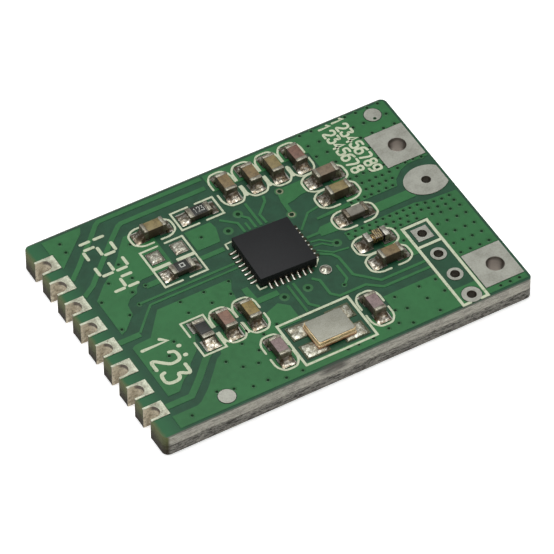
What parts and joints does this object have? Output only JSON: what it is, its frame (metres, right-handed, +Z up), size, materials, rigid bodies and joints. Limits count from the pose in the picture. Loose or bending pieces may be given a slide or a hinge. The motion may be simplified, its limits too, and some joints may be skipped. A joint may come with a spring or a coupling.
{
  "type": "wireless receiver board",
  "caption": "Small green radio receiver board with a castellated solder edge, a leadless chip, a crystal, chip capacitors and plated holes for header and antenna.",
  "frame": {"origin": "centre of the board's outline, at the underside of the lowest pads", "axes": "+X along the board towards the antenna pad, +Y to the back edge, +Z up out of the side that carries the parts"},
  "size_m": [0.0266, 0.0184, 0.0025],
  "materials": {
    "board_green": "glossy solder mask over glass laminate",
    "track_green": "glossy solder mask over copper",
    "tinned_pad": "dull tin plating with slight tarnish",
    "solder": "bright solder",
    "chip_black": "matt moulded epoxy",
    "lead_metal": "tinned copper",
    "case_ceramic": "dark ceramic",
    "gold_seal": "gold plating",
    "lid_metal": "satin nickel",
    "tan_ceramic": "fired ceramic",
    "brown_ceramic": "fired ceramic",
    "red_brown_ceramic": "fired ceramic",
    "grey_brown_ceramic": "fired ceramic",
    "pink_ceramic": "fired ceramic",
    "yellow_ceramic": "fired ceramic",
    "grey_pink_ceramic": "fired ceramic",
    "terminal_metal": "dull tinned end cap",
    "white_ceramic": "alumina",
    "resistor_black": "dark glaze",
    "grey_ceramic": "ferrite ceramic",
    "copper_wire": "enamelled copper",
    "olive_resin": "clear dark resin"
  },
  "bodies": {
    "root": {"circuit_board": "board_green", "top_copper": "track_green", "bottom_copper": "track_green", "edge_contacts": "tinned_pad", "header_square_pad": "tinned_pad", "header_ring_pads": "tinned_pad", "ground_pads": "tinned_pad", "antenna_pad": "tinned_pad", "sighting_discs": "tinned_pad", "test_pad": "tinned_pad", "test_pad_solder": "solder", "chip_body": "chip_black", "chip_leads": "lead_metal", "chip_pad": "lead_metal", "chip_lands": "tinned_pad", "crystal_base": "case_ceramic", "crystal_seal": "gold_seal", "crystal_lid": "lid_metal", "crystal_contacts": "gold_seal", "crystal_lands": "tinned_pad", "capacitor_01": "tan_ceramic", "capacitor_02": "brown_ceramic", "capacitor_03": "brown_ceramic", "capacitor_04": "brown_ceramic", "capacitor_05": "red_brown_ceramic", "capacitor_06": "grey_brown_ceramic", "capacitor_07": "tan_ceramic", "capacitor_08": "tan_ceramic", "capacitor_09": "pink_ceramic", "capacitor_10": "yellow_ceramic", "capacitor_11": "grey_pink_ceramic", "capacitor_12": "grey_pink_ceramic", "capacitor_terminals": "terminal_metal", "resistor_substrates": "white_ceramic", "resistor_overcoats": "resistor_black", "resistor_terminals": "terminal_metal", "inductor_body": "grey_ceramic", "inductor_terminals": "terminal_metal", "coil_core": "grey_ceramic", "coil_winding": "copper_wire", "coil_coat": "olive_resin", "coil_terminals": "terminal_metal", "part_lands": "tinned_pad", "solder_fillets": "solder", "bare_site_solder": "solder"}
  },
  "joints": []
}
